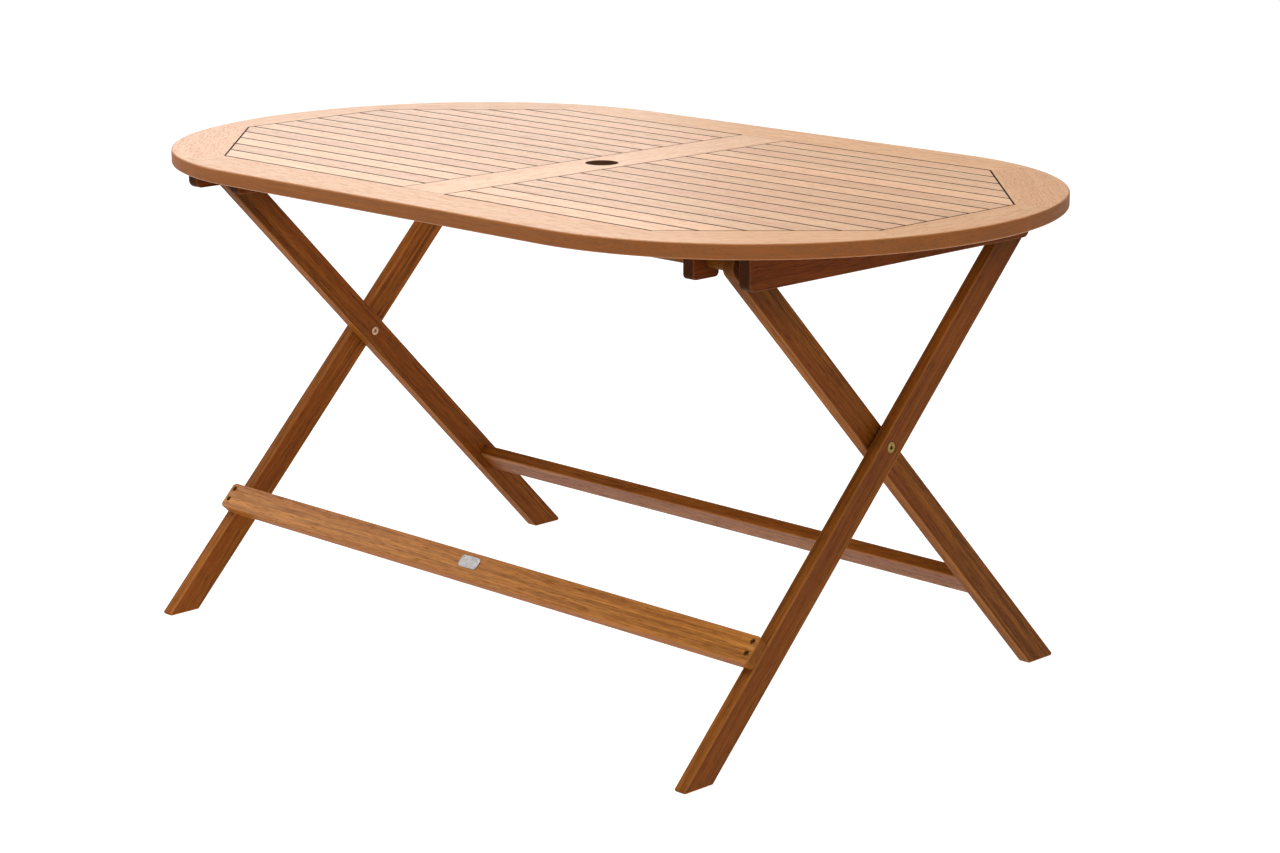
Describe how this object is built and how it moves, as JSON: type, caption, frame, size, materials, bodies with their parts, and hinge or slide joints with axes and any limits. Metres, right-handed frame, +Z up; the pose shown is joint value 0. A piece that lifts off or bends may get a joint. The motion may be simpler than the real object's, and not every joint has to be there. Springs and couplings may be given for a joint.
{
  "type": "folding picnic table",
  "caption": "Folding wooden picnic table: oval slatted top with a parasol hole on a crossed pair of leg frames.",
  "frame": {"origin": "on the ground, straight under the centre of the table top", "axes": "+X along the length of the top, +Y to its far side (the side of the catch blocks), +Z up"},
  "size_m": [1.5, 0.9, 0.745],
  "materials": {
    "top_wood": "oiled",
    "rim_wood": "oiled",
    "leg_wood": "oiled",
    "batten_wood": "oiled",
    "stretcher_wood": "oiled",
    "brass_fittings": "satin",
    "steel_fittings": "satin",
    "badge_metal": "satin"
  },
  "bodies": {
    "tabletop": {"near_side_board": "rim_wood", "far_side_board": "rim_wood", "left_end_board": "rim_wood", "right_end_board": "rim_wood", "near_left_corner_board": "rim_wood", "near_right_corner_board": "rim_wood", "far_left_corner_board": "rim_wood", "far_right_corner_board": "rim_wood", "centre_rail": "top_wood", "left_slat_01": "top_wood", "left_slat_02": "top_wood", "left_slat_03": "top_wood", "left_slat_04": "top_wood", "left_slat_05": "top_wood", "left_slat_06": "top_wood", "left_slat_07": "top_wood", "left_slat_08": "top_wood", "left_slat_09": "top_wood", "left_slat_10": "top_wood", "left_slat_11": "top_wood", "left_slat_12": "top_wood", "left_slat_13": "top_wood", "left_slat_14": "top_wood", "left_slat_15": "top_wood", "left_slat_16": "top_wood", "right_slat_01": "top_wood", "right_slat_02": "top_wood", "right_slat_03": "top_wood", "right_slat_04": "top_wood", "right_slat_05": "top_wood", "right_slat_06": "top_wood", "right_slat_07": "top_wood", "right_slat_08": "top_wood", "right_slat_09": "top_wood", "right_slat_10": "top_wood", "right_slat_11": "top_wood", "right_slat_12": "top_wood", "right_slat_13": "top_wood", "right_slat_14": "top_wood", "right_slat_15": "top_wood", "right_slat_16": "top_wood", "left_batten": "batten_wood", "right_batten": "batten_wood", "left_hinge_block": "batten_wood", "right_hinge_block": "batten_wood", "catch_blocks": "batten_wood", "top_screws": "brass_fittings"},
    "inner_frame": {"left_inner_leg": "leg_wood", "right_inner_leg": "leg_wood", "far_stretcher": "leg_wood", "hinge_rod": "leg_wood", "pivot_bolts": "brass_fittings", "pivot_nuts": "steel_fittings", "pivot_washers": "steel_fittings"},
    "outer_frame": {"left_outer_leg": "leg_wood", "right_outer_leg": "leg_wood", "near_stretcher": "stretcher_wood", "catch_rod": "leg_wood", "stretcher_screws": "brass_fittings", "badge": "badge_metal"}
  },
  "joints": [
    {"name": "leg_fold", "type": "hinge", "parent": "tabletop", "child": "inner_frame", "pos_m": [0, -0.283, 0.7005], "axis": [1, 0, 0], "range_deg": [0, 40.5]},
    {"name": "frame_scissor", "type": "hinge", "parent": "inner_frame", "child": "outer_frame", "pos_m": [0, 0, 0.406], "axis": [1, 0, 0], "range_deg": [-81, 0]}
  ],
  "couplings": [
    {"joint": "frame_scissor", "follows": "leg_fold", "ratio": -2}
  ]
}
